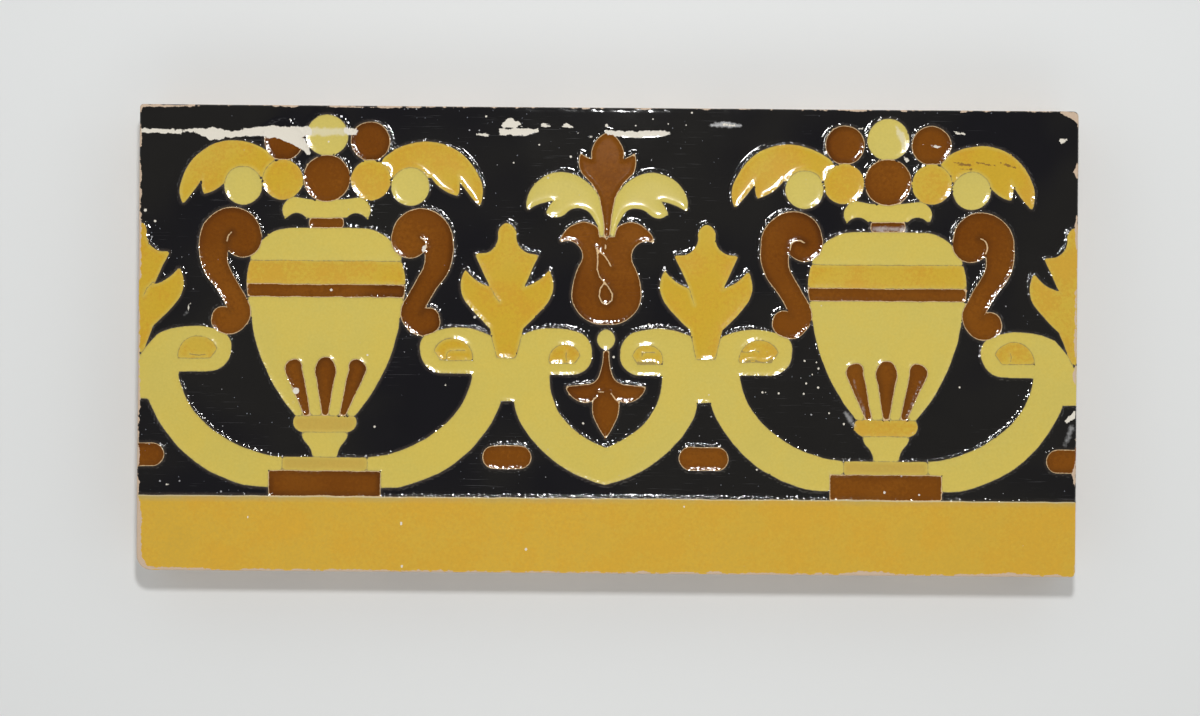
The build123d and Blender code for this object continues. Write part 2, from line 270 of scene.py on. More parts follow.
# The stage, in metres: where the camera looks, the floor's rings, and the two lamps
AIM = (-2.2 * MM, -5.2 * MM, TOP)
SENSOR_WIDTH = 36.0
FLOOR_RINGS = (0.5, 1.5, 6.0)
FLOOR_CORNERS = 96
KEY_PLACE, KEY_AIM, KEY_SIZE = (0.012, 0.205, 0.62), (0, 0, TOP), (0.046, 0.052)
FILL_PLACE, FILL_AIM, FILL_SIZE = (0.05, -0.45, 0.40), (0, -0.05, TOP), (0.5, 0.3)
FILL_COLOUR = (1.0, 0.92, 0.78)
# Strength of the room as the camera sees it, and the heights between which its wall turns ceiling
ROOM_SEEN = 0.85
WALL_TOP, CEILING_EDGE = 0.45, 0.85

# What most of the glazes share. Lengths are in millimetres, the rest are shares.
COMMON_GLAZE = {
    "Line width": 0.1, "Mottle": 0.24, "Drift": 0, "Roughness": 0.13, "Specks": 0.03,
    "Scratches": 0.1, "Peel": 0.8, "Grain": 0.005, "Beads": 0.03, "Pinholes": 0.05,
}


def length_property(name, description, default, low=0.0):
    """Length whose default and lowest value are written in millimetres."""
    return bpy.props.FloatProperty(
        name=name, description=description, default=default * MM, min=low * MM,
        precision=5, unit="LENGTH")


def level_property(name, description, default, **limits):
    """Brightness or share, which isn't below 0."""
    return bpy.props.FloatProperty(
        name=name, description=description, default=default, min=0, **limits)


def to_linear(value):
    """Light value of a screen value from 0 to 1."""
    return value / 12.92 if value <= 0.04045 else ((value + 0.055) / 1.055) ** 2.4


def colour_property(name, description, red, green, blue):
    """Colour whose default is written as the screen shows it, from 0 to 255."""
    return bpy.props.FloatVectorProperty(
        name=name, description=description, subtype="COLOR", size=4, min=0, max=1,
        default=(*(to_linear(v / 255) for v in (red, green, blue)), 1))


class TileSizes(bpy.types.PropertyGroup):
    glaze_sink: length_property(
        "Glaze sink", "How far the glaze in a cell lies below the crest of its ridge", 0.42)
    ground_sink: length_property(
        "Ground sink", "How far the black ground lies below the crests", 0.22)
    meniscus: length_property(
        "Meniscus", "Length over which the glaze of a cell climbs to a crest", 0.75, 0.1)
    ground_meniscus: length_property(
        "Ground meniscus", "Length over which the black ground climbs to a crest", 0.28, 0.1)
    waver: length_property("Waver", "How far the ridges wander from their drawn lines", 0.13)
    vein_rise: level_property(
        "Vein rise", "Height of a fine line as a share of the glaze sink", 0.45, max=1)
    unevenness: length_property("Unevenness", "Rise and fall of the fired surface", 0.022)
    hollow_depth: length_property("Hollow depth", "Depth of the keying hollows in the back", 2)


class TileColours(bpy.types.PropertyGroup):
    black: colour_property("Black", "Glaze of the ground", 17, 16, 20)
    straw: colour_property("Straw", "Glaze of the urns and scrolls", 203, 183, 88)
    pale: colour_property("Pale", "Glaze of the petals and pale fruit", 202, 185, 97)
    ochre: colour_property("Ochre", "Glaze of the leaves and garlands", 200, 163, 46)
    brown: colour_property("Brown", "Glaze of the handles and dark fruit", 122, 66, 2)
    honey: colour_property("Honey", "Glaze of the collar and step", 191, 163, 76)
    band: colour_property("Band", "Glaze of the plain band", 214, 168, 36)
    crest: colour_property("Crest", "Ridge showing through thin brown glaze", 206, 176, 132)
    # Also the colour of the painted highlights laid as lost glaze and chips
    clay: colour_property("Clay", "Fired clay", 205, 182, 158)
    loss: colour_property("Lost glaze", "Slip under the lost glaze", 224, 218, 204)
    floor: colour_property("Floor", "Floor under the tile", 224, 226, 226)


class StageSettings(bpy.types.PropertyGroup):
    view_width: length_property(
        "View width", "Width of the picture at the face of the tile", 357.4, 10)
    distance: length_property("Distance", "From the camera to the face of the tile", 620, 100)
    roll: bpy.props.FloatProperty(
        name="Roll", description="Turn of the camera about its line of sight",
        default=math.radians(0.46), subtype="ANGLE")
    key_level: level_property("Key level", "Brightness of the lamp above the top edge", 260)
    fill_level: level_property("Fill level", "Brightness of the lamp below the bottom edge", 0.6)
    wall_level: level_property("Wall level", "Brightness of the room at eye level", 1.1)
    ceiling_level: level_property("Ceiling level", "Brightness of the room overhead", 0.14)


def smooth(t):
    """0 below 0, 1 above 1 and a smooth step between."""
    t = np.clip(t, 0, 1)
    return t * t * (3 - 2 * t)


def ripple(x, y, size, seed):
    """Smooth random surface from -1 to 1: random values on a square lattice, joined smoothly."""
    count = 256
    values = np.random.default_rng(seed).uniform(-1, 1, (count, count))
    u, v = x / size + count, y / size + count
    i, j = np.floor(u).astype(int), np.floor(v).astype(int)
    s, t = smooth(u - i), smooth(v - j)
    i0, i1, j0, j1 = i % count, (i + 1) % count, j % count, (j + 1) % count
    low = values[j0, i0] * (1 - s) + values[j0, i1] * s
    high = values[j1, i0] * (1 - s) + values[j1, i1] * s
    return low * (1 - t) + high * t


def part_points():
    """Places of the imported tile's points."""
    points = np.empty(len(PART.vertices) * 3, np.float32)
    PART.vertices.foreach_get("co", points)
    return points.reshape(-1, 3)


def part_floors():
    """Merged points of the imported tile, and the triangles of its cell floors.

    A floor triangle is level, faces up and lies below the top.
    """
    PART.calc_loop_triangles()
    triangles = np.empty(len(PART.loop_triangles) * 3, np.int32)
    PART.loop_triangles.foreach_get("vertices", triangles)
    points = part_points()
    microns = np.round(points * 1e6).astype(int)
    _, first, merged = np.unique(microns, axis=0, return_index=True, return_inverse=True)
    points = points[first].astype(float)
    triangles = merged.reshape(-1)[triangles].reshape(-1, 3)
    corners = points[triangles]
    level = np.ptp(corners[:, :, 2], axis=1) < 0.01 * MM
    below = corners[:, 0, 2] < TOP - 0.1 * MM
    rise = np.cross(corners[:, 1] - corners[:, 0], corners[:, 2] - corners[:, 0])[:, 2]
    return points, triangles[level & below & (rise > 0)]


def joined_floors(points, floors):
    """Number of the cell of each floor triangle. Floors that share a corner are one cell."""
    label = np.arange(len(points))
    before = None
    while before is None or (label != before).any():
        before = label.copy()
        lowest = label[floors].min(axis=1)
        for k in range(3):
            np.minimum.at(label, floors[:, k], lowest)
        label = label[label]
    return np.unique(label[floors[:, 0]], return_inverse=True)[1]


def floor_outlines():
    """Edges of the cell floors: start and end points, the cell of each, and the cells' middles.

    An edge that no second floor triangle uses is part of an outline. A cell's middle is the
    mean of its triangles' middles, weighed by their areas.
    """
    points, floors = part_floors()
    cell = joined_floors(points, floors)
    edges = np.concatenate((floors[:, (0, 1)], floors[:, (1, 2)], floors[:, (2, 0)]))
    count = len(points)
    rim = ~np.isin(edges[:, 0] * count + edges[:, 1], edges[:, 1] * count + edges[:, 0])
    start, end = points[edges[rim, 0], :2], points[edges[rim, 1], :2]
    a, b, c = (points[floors[:, k], :2] for k in range(3))
    area = np.abs(np.cross(b - a, c - a))
    weight = np.bincount(cell, area)
    middle = [np.bincount(cell, area * (a + b + c)[:, k] / 3) / weight for k in range(2)]
    return start, end, np.tile(cell, 3)[rim], np.stack(middle, axis=1)


def cell_materials(middle):
    """Number of the material of each cell: that of the nearest place in the table of glazes."""
    places = [(x, y, GLAZES.index(name)) for name, spots in CELL_GLAZES.items() for x, y in spots]
    places = np.array(places, float)
    x = middle[:, 0] / MM
    y = (middle[:, 1] + HALF[1]) / MM
    apart = np.hypot(np.abs(x - FRIEZE_AXIS)[:, None] - places[:, 0], y[:, None] - places[:, 1])
    chosen = places[apart.argmin(axis=1), 2].astype(int)
    for across, up, name in ODD_CELLS:
        chosen[np.hypot(x - across, y - up).argmin()] = GLAZES.index(name)
    return chosen


def window(x, y, low, high):
    """Rows and columns of the grid x by y that lie between two corners."""
    rows = slice(*np.searchsorted(y, (low[1], high[1])))
    return rows, slice(*np.searchsorted(x, (low[0], high[0])))


def foot_share(px, py, along):
    """Where a point p has its foot on a line d from the origin: (p.d) / |d|^2, from 0 to 1."""
    return np.clip((px * along[0] + py * along[1]) / (along @ along), 0, 1)


def near_lines(x, y, start, end, owner, reach):
    """Distance from each point of the grid x by y to the nearest line, its foot and its owner.

    Only lines within reach are looked at.
    """
    gap = np.full((len(y), len(x)), reach)
    foot = np.zeros((len(y), len(x), 2))
    nearest = np.full((len(y), len(x)), -1)
    for a, b, number in zip(start, end, owner):
        spot = window(x, y, np.minimum(a, b) - reach, np.maximum(a, b) + reach)
        along = b - a
        px, py = x[spot[1]] - a[0], (y[spot[0]] - a[1])[:, None]
        t = foot_share(px, py, along)
        apart = np.hypot(px - t * along[0], py - t * along[1])
        closer = apart < gap[spot]
        gap[spot][closer] = apart[closer]
        foot[spot][closer] = (a + t[..., None] * along)[closer]
        nearest[spot][closer] = number
    return gap, foot, nearest


def floor_under(x, y, start, end, owner):
    """Cell whose floor each point of the grid lies on, or -1.

    A point is inside an outline that has an odd count of edges to its left.
    """
    under = np.full((len(y), len(x)), -1)
    for number in range(owner.max() + 1):
        a, b = start[owner == number], end[owner == number]
        rows, columns = window(x, y, a.min(axis=0), a.max(axis=0))
        odd = np.zeros((rows.stop - rows.start, columns.stop - columns.start), bool)
        for p, q in zip(a, b):
            if p[1] != q[1]:
                k0, k1 = np.searchsorted(y, sorted((p[1], q[1])))
                crossing = p[0] + (y[k0:k1] - p[1]) * (q[0] - p[0]) / (q[1] - p[1])
                odd[k0 - rows.start:k1 - rows.start] ^= x[columns] > crossing[:, None]
        under[rows, columns][odd] = number
    return under


def mark_field(x, y, marks):
    """How far each point of the grid lies inside the nearest mark, in metres, and below 0 outside.

    A mark is a line whose half width goes evenly from one point to the next. One that ends
    where it starts is filled.
    """
    field = np.full((len(y), len(x)), -MARK_REACH * MM)
    for mark in marks:
        line = np.array(mark, float) * MM
        line[:, 1] -= HALF[1]
        reach = line[:, 2].max() + MARK_REACH * MM
        spot = window(x, y, line.min(axis=0) - reach, line.max(axis=0) + reach)
        px, py = x[spot[1]], y[spot[0]][:, None]
        inside = np.full((py.size, px.size), -MARK_REACH * MM)
        filled = np.zeros(inside.shape, bool)
        for a, b in zip(line[:-1], line[1:]):
            along = (b - a)[:2]
            t = foot_share(px - a[0], py - a[1], along)
            gap = np.hypot(px - a[0] - t * along[0], py - a[1] - t * along[1])
            inside = np.maximum(inside, a[2] + t * (b[2] - a[2]) - gap)
            if mark[0] == mark[-1] and a[1] != b[1]:
                crossed = (py - a[1]) * (py - b[1]) < 0
                filled ^= crossed & (px > a[0] + (py - a[1]) * along[0] / along[1])
        field[spot] = np.maximum(field[spot], np.where(filled, -inside, inside))
    return field


def rim_field(x, y):
    """How far each point lies inside the bare clay along the tile's edges, in metres."""
    edges = {
        "left": (HALF[0] + x, y), "right": (HALF[0] - x, y),
        "bottom": (HALF[1] + y, x), "top": (HALF[1] - y, x),
    }
    field = np.full(np.broadcast(x, y).shape, -MARK_REACH * MM)
    for seed, (name, (inward, along)) in enumerate(edges.items()):
        mean, wander = RIMS[name]
        waves = 0.7 * ripple(along, 0 * along, 5 * MM, seed)
        waves = waves + 0.5 * ripple(along, 0 * along, 1.3 * MM, seed + 9)
        field = np.maximum(field, (mean + wander * waves) * MM - inward)
    return field


def vein_lines():
    """Start points, end points and numbers of the pieces of the fine raised lines."""
    start = np.array([p for line in VEINS for p in line[:-1]], float) * MM
    end = np.array([p for line in VEINS for p in line[1:]], float) * MM
    start[:, 1] -= HALF[1]
    end[:, 1] -= HALF[1]
    return start, end, range(len(start))


class Relief:
    """Cells, crests and height of the face.

    The crest of a ridge lies half a ridge outside the floors beside it. The height under the
    crests is the surface of a liquid that climbs to them, w - L^2 (w_xx + w_yy) = 1 with w near
    0 on the crests, held on a fine grid and read off between its points.
    """

    pitch = 0.2 * MM
    reach = 4 * MM
    longest_piece = 1.2 * MM
    rounds = 70
    crest_level = 0.1

    def __init__(self, sizes):
        self.sizes = sizes
        self.start, self.end, self.owner, middle = floor_outlines()
        self.glaze = np.append(cell_materials(middle), 0)
        each = np.random.default_rng(71).uniform(0.75, 1.2, len(self.glaze))
        self.fall = each * np.array([FALL[GLAZES[number]] for number in self.glaze])
        self.panel = np.abs(self.start).max(axis=0) - 0.02 * MM
        past = (np.abs(self.start) > self.panel) & (np.abs(self.end) > self.panel)
        self.inner = ~(past & (self.start * self.end > 0)).any(axis=1)
        self.half_ridge = self.ridge_width() / 2
        self.start, self.end, self.owner, self.inner = self.wavered()
        self.veins = vein_lines()
        self.x = np.arange(-HALF[0], HALF[0] + self.pitch / 2, self.pitch)
        self.y = np.arange(-HALF[1], HALF[1] + self.pitch / 2, self.pitch)
        self.cell, crest, _, _ = self.cells(self.x, self.y, self.reach)
        height = self.pools(crest) + self.swell() - self.worn_away()
        for _ in range(2):
            height = np.pad(height, 1, mode="edge")
            height = (height[:, 2:] + 2 * height[:, 1:-1] + height[:, :-2]) / 4
            height = (height[2:] + 2 * height[1:-1] + height[:-2]) / 4
        self.height = height - max(height.max(), 0)
        self.slope_y, self.slope_x = np.gradient(self.height, self.pitch)

    def ridge_width(self):
        """Width of the ridge across the top of the plain band, below the plinths."""
        level = [self.start[self.owner == n][:, 1] for n in range(self.owner.max() + 1)]
        band = min(level, key=lambda y: y.min())
        above = min(y.min() for y in level if y.min() > band.max())
        return above - band.max()

    def wavered(self):
        """The floors' edges in short pieces, moved a little aside as a hand-cut mould has them."""
        length = np.linalg.norm(self.end - self.start, axis=1)
        count = np.where(self.inner, np.ceil(length / self.longest_piece).astype(int), 1)
        source = np.repeat(np.arange(len(count)), count)
        order = np.arange(len(source)) - np.repeat(np.cumsum(count) - count, count)
        along = (self.end - self.start)[source]
        moved = []
        for share in (order / count[source], (order + 1) / count[source]):
            p = self.start[source] + along * share[:, None]
            shift = [ripple(p[:, 0], p[:, 1], 3.1 * MM, seed) for seed in (11, 12)]
            free = (np.abs(p) < self.panel).all(axis=1)[:, None]
            moved.append(p + self.sizes.waver * np.stack(shift, axis=1) * free)
        return *moved, self.owner[source], self.inner[source]

    def cells(self, x, y, reach):
        """Cell, distance to the crest, crest point and direction across it of each grid point."""
        cx, cy = np.clip(x, -self.panel[0], self.panel[0]), np.clip(y, -self.panel[1], self.panel[1])
        lines = (a[self.inner] for a in (self.start, self.end, self.owner))
        gap, foot, near = near_lines(cx, cy, *lines, reach)
        under = floor_under(cx, cy, self.start, self.end, self.owner)
        on_floor = under >= 0
        on_ridge = ~on_floor & (gap < self.half_ridge)
        cell = np.where(on_floor, under, np.where(on_ridge, near, -1))
        crest = np.where(on_floor, self.half_ridge + gap, np.abs(gap - self.half_ridge))
        point = np.stack(np.broadcast_arrays(cx, cy[:, None]), axis=-1)
        shift = np.stack(np.broadcast_arrays(x - cx, (y - cy)[:, None]), axis=-1)
        away = (point - foot) / np.maximum(gap, 1e-9)[..., None]
        away *= np.where(on_floor, -1, 1)[..., None]
        return cell, crest, foot + away * self.half_ridge + shift, away

    def pools(self, crest):
        """Height of the glazes, from the first guess w = 1 - exp(-distance / L)."""
        x, y = self.x, self.y[:, None]
        climb = np.where(self.cell < 0, self.sizes.ground_meniscus, self.sizes.meniscus)
        brown = self.glaze[self.cell] == GLAZES.index("Brown glaze")
        climb = np.where(brown, BROWN_CLIMB * climb, climb)
        w = 1 - np.exp(-crest / climb)
        held = crest < 0.6 * self.pitch
        lumps = 0.08 * ripple(x, y, 2.2 * MM, 21) + 0.11 * ripple(x, y, 0.9 * MM, 22)
        share = (self.pitch / climb) ** 2
        for _ in range(self.rounds):
            spread = np.pad(w, 1, mode="edge")
            spread = spread[1:-1, 2:] + spread[1:-1, :-2] + spread[2:, 1:-1] + spread[:-2, 1:-1]
            w = (spread + share) / (4 + share)
            w[held] = self.crest_level + lumps[held]
        vein, _, _ = near_lines(self.x, self.y, *self.veins, 1 * MM)
        w -= self.sizes.vein_rise * np.exp(-(vein / (VEIN_WIDTH * MM)) ** 2)
        ground_sink = self.sizes.ground_sink * (1 + 0.35 * ripple(x, y, 9 * MM, 23))
        cell_sink = self.sizes.glaze_sink * self.fall[self.cell]
        return -np.where(self.cell < 0, ground_sink, cell_sink) * w

    def swell(self):
        """Rise and fall of the fired surface, in waves of three lengths."""
        x, y = self.x, self.y[:, None]
        waves = 0.7 * ripple(x, y, 14 * MM, 31) + 0.45 * ripple(x, y, 5 * MM, 32)
        return self.sizes.unevenness * (waves + 0.2 * ripple(x, y, 2 * MM, 33))

    def worn_away(self):
        """Depth lost to bare clay, to lost glaze (painted highlights among its marks too) and along the
        rubbed arris.
        """
        x, y = self.x, self.y[:, None]
        bare = np.maximum(mark_field(self.x, self.y, BARE_CLAY), rim_field(x, y))
        bare = smooth((bare - 0.5 * MM) / (0.5 * MM)) * (1 + 0.6 * ripple(x, y, 0.8 * MM, 41))
        lost = smooth((mark_field(self.x, self.y, LOST_GLAZE_AND_GLINTS) - 0.3 * MM) / (0.4 * MM))
        inward = np.minimum(HALF[0] - np.abs(x), HALF[1] - np.abs(y))
        rubbed = smooth(1 - (inward - ARRIS * MM) / (RUB_WIDTH * MM))
        rubbed = rubbed * (1 + ripple(x, y, 1.1 * MM, 42))
        return (CLAY_DEPTH * bare + LOSS_DEPTH * lost + RUB_DEPTH * rubbed) * MM

    def read(self, field, x, y):
        """Value of a field of the fine grid at any points, straight between its points."""
        u = np.clip((x - self.x[0]) / self.pitch, 0, len(self.x) - 1.001)
        v = np.clip((y - self.y[0]) / self.pitch, 0, len(self.y) - 1.001)
        i, j = u.astype(int), v.astype(int)
        s, t = u - i, v - j
        low = field[j, i] * (1 - s) + field[j, i + 1] * s
        high = field[j + 1, i] * (1 - s) + field[j + 1, i + 1] * s
        return low * (1 - t) + high * t

    def glaze_at(self, x, y):
        """Number of the glaze at the fine grid's nearest point."""
        i = np.rint((x - self.x[0]) / self.pitch).astype(int).clip(0, len(self.x) - 1)
        j = np.rint((y - self.y[0]) / self.pitch).astype(int).clip(0, len(self.y) - 1)
        return self.glaze[self.cell[j, i]]


def pulled(side, gap, span):
    """Grid points to move onto a line: of two neighbours on either side of it, the nearer one.

    The line passes between two neighbours only if their distances from it add up to no more
    than span, the space between them.
    """
    pull = np.zeros(side.shape, bool)
    for here, there in (
        ((slice(None), slice(None, -1)), (slice(None), slice(1, None))),
        ((slice(None, -1), slice(None)), (slice(1, None), slice(None))),
    ):
        crossed = (side[here] != side[there]) & (gap[here] + gap[there] < span)
        first = gap[here] < gap[there]
        pull[here] |= crossed & first
        pull[there] |= crossed & ~first
    return pull


def split_quads(points, fixed):
    """Triangles of a grid of quads, cut along the diagonal that joins two fixed points.

    Where both diagonals do, or neither, the shorter one is the cut.
    """
    rows, columns = fixed.shape
    number = np.arange(rows * columns).reshape(rows, columns)
    a, b, c, d = number[:-1, :-1], number[:-1, 1:], number[1:, 1:], number[1:, :-1]
    flat, held = points.reshape(-1, points.shape[-1]), fixed.reshape(-1)
    rising = np.linalg.norm(flat[a] - flat[c], axis=-1)
    falling = np.linalg.norm(flat[b] - flat[d], axis=-1)
    rising_held, falling_held = held[a] & held[c], held[b] & held[d]
    use_rising = np.where(rising_held == falling_held, rising < falling, rising_held)[..., None]
    first = np.where(use_rising, np.stack((a, b, c), -1), np.stack((a, b, d), -1))
    second = np.where(use_rising, np.stack((a, c, d), -1), np.stack((b, c, d), -1))
    return np.stack((first, second), axis=2).reshape(-1, 3)


def folded(grid, triangles):
    """Numbers of the points of triangles that are turned over."""
    a, b, c = np.moveaxis(grid.reshape(-1, 2)[triangles], 1, 0)
    turn = (b - a)[:, 0] * (c - a)[:, 1] - (b - a)[:, 1] * (c - a)[:, 0]
    return np.unique(triangles[turn <= 0])


def border(rows, columns):
    """Numbers of the points round a grid, anticlockwise from its first corner."""
    number = np.arange(rows * columns).reshape(rows, columns)
    return np.concatenate((number[0, :-1], number[:-1, -1], number[-1, :0:-1], number[:0:-1, 0]))


def strip(upper, lower):
    """Triangles between two closed rings of points, the lower as many as the upper or half."""
    after, below = np.roll(upper, -1), np.roll(lower, -1)
    if len(lower) == len(upper):
        corners = ((upper, lower, below), (upper, below, after))
    else:
        a, b, c = upper[0::2], upper[1::2], after[1::2]
        corners = ((a, lower, b), (b, lower, below), (b, below, c))
    return np.concatenate([np.stack(three, axis=1) for three in corners])


def round_corners(points):
    """Each corner drawn in to its radius: the square in the corner becomes a quarter of a disc."""
    for side, radius in CORNER_RADII.items():
        inner = side * (HALF - radius * MM)
        out = np.maximum((points[:, :2] - inner) * side, 0)
        shrink = out.max(axis=1) / np.maximum(np.linalg.norm(out, axis=1), 1e-9)
        both = (out > 0).all(axis=1)[:, None]
        points[:, :2] = np.where(both, inner + side * out * shrink[:, None], points[:, :2])
    return points


class Hollows:
    """The keying hollows of the back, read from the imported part: long pockets with round ends."""

    def __init__(self):
        points = part_points()
        inner = (np.abs(points[:, :2]) < HALF - 5 * MM).all(axis=1)
        edge = points[(np.abs(points[:, 2]) < 0.01 * MM) & inner]
        straight = np.abs(edge[:, 0]) < np.abs(edge[:, 0]).min() + 0.1 * MM
        levels = np.unique(np.round(edge[straight, 1], 5))
        self.half_length = np.abs(edge[:, 0]).max()
        self.half_width = (levels[1] - levels[0]) / 2
        self.places = (levels[0::2] + levels[1::2]) / 2

    def outside(self, points):
        """Distance from a hollow's edge: that to its middle line, less half its width."""
        past = np.maximum(np.abs(points[..., 0]) - (self.half_length - self.half_width), 0)
        off = np.abs(points[..., 1, None] - self.places).min(axis=-1)
        return np.hypot(past, off) - self.half_width

    def slope(self, points):
        """Slope of that distance, from its values a small step to either side."""
        step = 0.05 * MM
        return np.stack([
            (self.outside(points + step * e) - self.outside(points - step * e)) / (2 * step)
            for e in np.eye(3)[:2]], axis=-1)

    def grid(self, columns, rows):
        """Columns and rows of the back, close together at the hollows' ends and sides."""
        ends = self.half_length + np.linspace(-self.half_width - 2 * MM, 1 * MM, 22)
        outer = np.linspace(ends[-1] + 2 * MM, HALF[0] - BACK_ARRIS * MM, 4)
        spare = columns + 1 - 2 * (len(ends) + len(outer))
        middle = np.linspace(-ends[0], ends[0], spare + 2)[1:-1]
        x = np.concatenate((-outer[::-1], -ends[::-1], middle, ends, outer))
        across = np.array((-1, -0.9, -0.55, 0, 0.55, 0.9, 1)) * self.half_width
        rim = HALF[1] - BACK_ARRIS * MM
        y = np.concatenate(([-rim], (self.places[:, None] + across).reshape(-1), [rim]))
        while len(y) < rows + 1:
            widest = np.diff(y).argmax()
            y = np.insert(y, widest + 1, y[widest:widest + 2].mean())
        return x, y


def back_face(sizes, columns, rows):
    """Points of the back and which of them lie on a hollow's rim or foot.

    The back is level but for dents and for the hollows, whose walls lean a little.
    """
    hollows = Hollows()
    x, y = hollows.grid(columns, rows)
    points = np.stack(np.broadcast_arrays(x, y[:, None], 0.0), axis=-1).copy()
    fixed = np.zeros(points.shape[:2], bool)
    for level in (0, -HOLLOW_WALL * MM):
        off = hollows.outside(points) - level
        pull = pulled(off > 0, np.abs(off), HOLLOW_SPAN * MM) & ~fixed
        pull[[0, -1]] = False
        pull[:, [0, -1]] = False
        moved = points[..., :2] - off[..., None] * hollows.slope(points)
        meet = np.linalg.norm(np.diff(moved, axis=1), axis=-1) < NEAREST * MM
        meet &= pull[:, :-1] & pull[:, 1:]
        first = np.abs(off[:, :-1]) < np.abs(off[:, 1:])
        pull[:, 1:] &= ~(meet & first)
        pull[:, :-1] &= ~(meet & ~first)
        points[..., :2] = np.where(pull[..., None], moved, points[..., :2])
        fixed |= pull
    dents = DENT_DEPTH * MM * (1 + ripple(points[..., 0], points[..., 1], 9 * MM, 51)) / 2
    dents[[0, -1]] = 0
    dents[:, [0, -1]] = 0
    wall = smooth(-hollows.outside(points) / (HOLLOW_WALL * MM))
    points[..., 2] = sizes.hollow_depth * wall + dents
    return points, fixed


def chip_points(grid, x, y, fixed):
    """How far each point of the grid lies inside a chip; two of the chips are painted highlights.

    The free point nearest to a chip's middle is moved onto it.
    """
    field = np.full(fixed.shape, -MARK_REACH * MM)
    taken = fixed.copy()
    for across, up, radius in CHIPS_AND_GLINTS:
        middle = np.array((across * MM, up * MM - HALF[1]))
        spot = window(x, y, middle - CHIP_WINDOW * MM, middle + CHIP_WINDOW * MM)
        apart = np.linalg.norm(grid[spot] - middle, axis=-1)
        free = np.where(taken[spot], 1.0, apart)
        j, i = np.unravel_index(free.argmin(), free.shape)
        if free[j, i] < CHIP_PULL * MM:
            grid[spot][j, i] = middle
            taken[spot][j, i] = True
            apart[j, i] = 0
        field[spot] = np.maximum(field[spot], radius * MM - apart)
    return field


def corner_normals(relief, grid, triangles, fixed, across):
    """Normal (-slope in x, -slope in y, 1) of the face at each corner of its triangles.

    At a crest the face turns sharply, so there the slope is taken a little way off the crest,
    on the side that the triangle lies on.
    """
    corner = grid.reshape(-1, 2)[triangles]
    side = across.reshape(-1, 2)[triangles]
    lean = ((corner.mean(axis=1, keepdims=True) - corner) * side).sum(axis=-1, keepdims=True)
    held = fixed.reshape(-1)[triangles][..., None]
    place = corner + np.where(held, CREST_STEP * MM * np.sign(lean) * side, 0)
    slopes = [relief.read(field, place[..., 0], place[..., 1])
              for field in (relief.slope_x, relief.slope_y)]
    normals = np.stack((-slopes[0], -slopes[1], np.ones(place.shape[:2])), axis=-1)
    return normals / np.linalg.norm(normals, axis=-1, keepdims=True)


def face_grid(relief, x, y):
    """The face's grid x by y with its nearest points drawn onto crests, fine lines and chips.

    Gives the grid, which points are held on a line, the direction across that line, the
    distance to the nearest line, and how far inside a chip each point lies.
    """
    plain = np.stack(np.broadcast_arrays(x, y[:, None]), axis=-1)
    cell, crest, crest_point, across = relief.cells(x, y, CREST_FAR * MM)
    on_crest = pulled(cell, crest, CREST_SPAN * MM)
    grid = np.where(on_crest[..., None], crest_point, plain)
    vein, foot, number = near_lines(x, y, *relief.veins, VEIN_FAR * MM)
    along = (relief.veins[1] - relief.veins[0])[number]
    side = along[..., 0] * (y[:, None] - foot[..., 1]) > along[..., 1] * (x - foot[..., 0])
    on_vein = pulled(side, vein, VEIN_SPAN * MM) & ~on_crest
    grid = np.where(on_vein[..., None], foot, grid)
    beside = np.stack((-along[..., 1], along[..., 0]), axis=-1)
    beside /= np.linalg.norm(beside, axis=-1, keepdims=True)
    across = np.where(on_vein[..., None], beside, across)
    held = on_crest | on_vein
    chips_and_glints = chip_points(grid, x, y, held)
    grid[:, 0, 0], grid[:, -1, 0] = x[0], x[-1]
    grid[0, :, 1], grid[-1, :, 1] = y[0], y[-1]
    over = folded(grid, split_quads(grid, held))
    grid.reshape(-1, 2)[over] = plain.reshape(-1, 2)[over]
    held.reshape(-1)[over] = False
    return grid, held, across, np.where(held, 0, np.minimum(crest, vein)), chips_and_glints


class Shell:
    """The tile's closed mesh as it is put together, part by part."""

    def __init__(self):
        self.count = 0
        self.points, self.triangles, self.materials = [], [], []
        self.marks = {name: [] for name in MARKS}

    def add(self, points, triangles, materials, marks):
        """Take in a part, numbered on from the last. A mark that isn't given lies far off."""
        self.points.append(points)
        self.triangles.append(triangles)
        self.materials.append(np.broadcast_to(materials, len(triangles)))
        for name, parts in self.marks.items():
            far = CREST_FAR if name == "crest" else -MARK_REACH
            parts.append(np.broadcast_to(marks.get(name, far), len(points)))
        self.count += len(points)

    def whole(self):
        """Points with the corners rounded, triangles, materials and marks of all the parts."""
        marks = {name: np.concatenate(parts) for name, parts in self.marks.items()}
        points = round_corners(np.concatenate(self.points))
        return points, np.concatenate(self.triangles), np.concatenate(self.materials), marks


